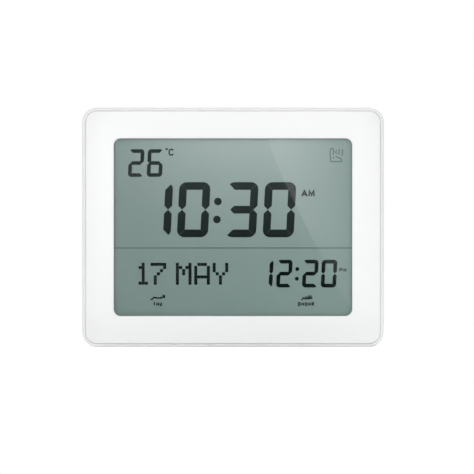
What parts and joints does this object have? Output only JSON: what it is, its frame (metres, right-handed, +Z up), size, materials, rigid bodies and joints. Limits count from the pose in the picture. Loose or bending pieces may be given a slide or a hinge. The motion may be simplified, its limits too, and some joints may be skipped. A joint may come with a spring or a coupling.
{
  "type": "azan clock",
  "caption": "Digital azan clock: wide display in a white frame, with a folding stand, battery door, push buttons, speaker grille and keyhole on the back.",
  "frame": {"origin": "middle of the bottom face that the clock stands on, at mid width and mid depth", "axes": "+X to the right seen from the front, +Y from the front to the back, +Z up"},
  "size_m": [0.2102, 0.0318, 0.1668],
  "materials": {
    "white_shell": "satin moulded white plastic",
    "clear_lens": "clear acrylic, polished",
    "black_foam": "closed-cell foam",
    "polariser": "thin grey-green film",
    "display_glass": "flat display glass",
    "clear_acrylic": "clear acrylic, edge lit",
    "white_film": "matt white film",
    "lamp_resin": "lamp resin",
    "holder_plastic": "matt moulded plastic",
    "contact_rubber": "layered silicone rubber",
    "circuit_board": "solder-masked board",
    "plated_steel": "zinc-plated steel",
    "black_resin": "black epoxy",
    "tinned_metal": "nickel-plated",
    "tan_ceramic": "matt tan",
    "natural_nylon": "natural nylon",
    "switch_black": "matt black plastic",
    "speaker_steel": "plated pressed steel",
    "ferrite": "dull grey ferrite",
    "speaker_paper": "pressed paper",
    "wire_cover": "soft wire cover",
    "ribbon_cover": "grey ribbon cable",
    "cell_wrap": "plain wrap without print",
    "button_grey": "moulded plastic"
  },
  "bodies": {
    "clock_case": {"front_frame": "white_shell", "window_lens": "clear_lens", "display_gasket": "black_foam", "front_polariser": "polariser", "front_glass": "display_glass", "rear_glass": "display_glass", "rear_polariser": "polariser", "light_guide": "clear_acrylic", "reflector_sheet": "white_film", "backlight_lamps": "lamp_resin", "display_holder": "holder_plastic", "contact_strip_top": "contact_rubber", "contact_strip_bottom": "contact_rubber", "main_board": "circuit_board", "board_screws": "plated_steel", "controller_blob": "black_resin", "sound_chip": "black_resin", "sound_chip_leads": "tinned_metal", "clock_crystal": "tinned_metal", "board_resistors": "black_resin", "board_capacitors": "tan_ceramic", "temperature_sensor": "black_resin", "board_connectors": "natural_nylon", "rear_case": "white_shell", "case_screws": "plated_steel", "stand_pin": "plated_steel", "battery_contacts": "tinned_metal", "battery_springs": "tinned_metal", "key_board": "circuit_board", "key_board_screws": "plated_steel", "switch_bodies": "switch_black", "speaker_gasket": "black_foam", "speaker_frame": "speaker_steel", "speaker_magnet": "ferrite", "speaker_backplate": "speaker_steel", "speaker_cone": "speaker_paper", "speaker_dust_cap": "speaker_paper", "speaker_terminal": "tan_ceramic", "speaker_washers": "plated_steel", "speaker_screws": "plated_steel", "speaker_wires": "wire_cover", "battery_wires": "wire_cover", "key_ribbon": "ribbon_cover", "cell_1": "cell_wrap", "cell_2": "cell_wrap", "cell_3": "cell_wrap"},
    "stand_leg": {"stand": "white_shell"},
    "battery_lid": {"battery_door": "white_shell"},
    "light_button": {"button_light": "button_grey", "plunger_light": "switch_black"},
    "alarm_button": {"button_alarm": "button_grey", "plunger_alarm": "switch_black"},
    "up_button": {"button_up": "button_grey", "plunger_up": "switch_black"},
    "down_button": {"button_down": "button_grey", "plunger_down": "switch_black"},
    "azan_button": {"button_azan": "button_grey", "plunger_azan": "switch_black"},
    "set_button": {"button_set": "button_grey", "plunger_set": "switch_black"}
  },
  "joints": [
    {"name": "stand_fold", "type": "hinge", "parent": "clock_case", "child": "stand_leg", "pos_m": [0, 0.0127, 0.078], "axis": [1, 0, 0], "range_deg": [0, 28]},
    {"name": "battery_door_tilt", "type": "hinge", "parent": "clock_case", "child": "battery_lid", "pos_m": [0.06785, 0.015, 0.0286], "axis": [-1, 0, 0], "range_deg": [0, 80]},
    {"name": "light_press", "type": "slide", "parent": "clock_case", "child": "light_button", "axis": [0, -1, 0], "range_m": [0, 0.0006], "stiffness_N_per_m": 500, "springref_m": -0.0005},
    {"name": "alarm_press", "type": "slide", "parent": "clock_case", "child": "alarm_button", "axis": [0, -1, 0], "range_m": [0, 0.0006], "stiffness_N_per_m": 500, "springref_m": -0.0005},
    {"name": "up_press", "type": "slide", "parent": "clock_case", "child": "up_button", "axis": [0, -1, 0], "range_m": [0, 0.0006], "stiffness_N_per_m": 500, "springref_m": -0.0005},
    {"name": "down_press", "type": "slide", "parent": "clock_case", "child": "down_button", "axis": [0, -1, 0], "range_m": [0, 0.0006], "stiffness_N_per_m": 500, "springref_m": -0.0005},
    {"name": "azan_press", "type": "slide", "parent": "clock_case", "child": "azan_button", "axis": [0, -1, 0], "range_m": [0, 0.0006], "stiffness_N_per_m": 500, "springref_m": -0.0005},
    {"name": "set_press", "type": "slide", "parent": "clock_case", "child": "set_button", "axis": [0, -1, 0], "range_m": [0, 0.0006], "stiffness_N_per_m": 500, "springref_m": -0.0005}
  ]
}
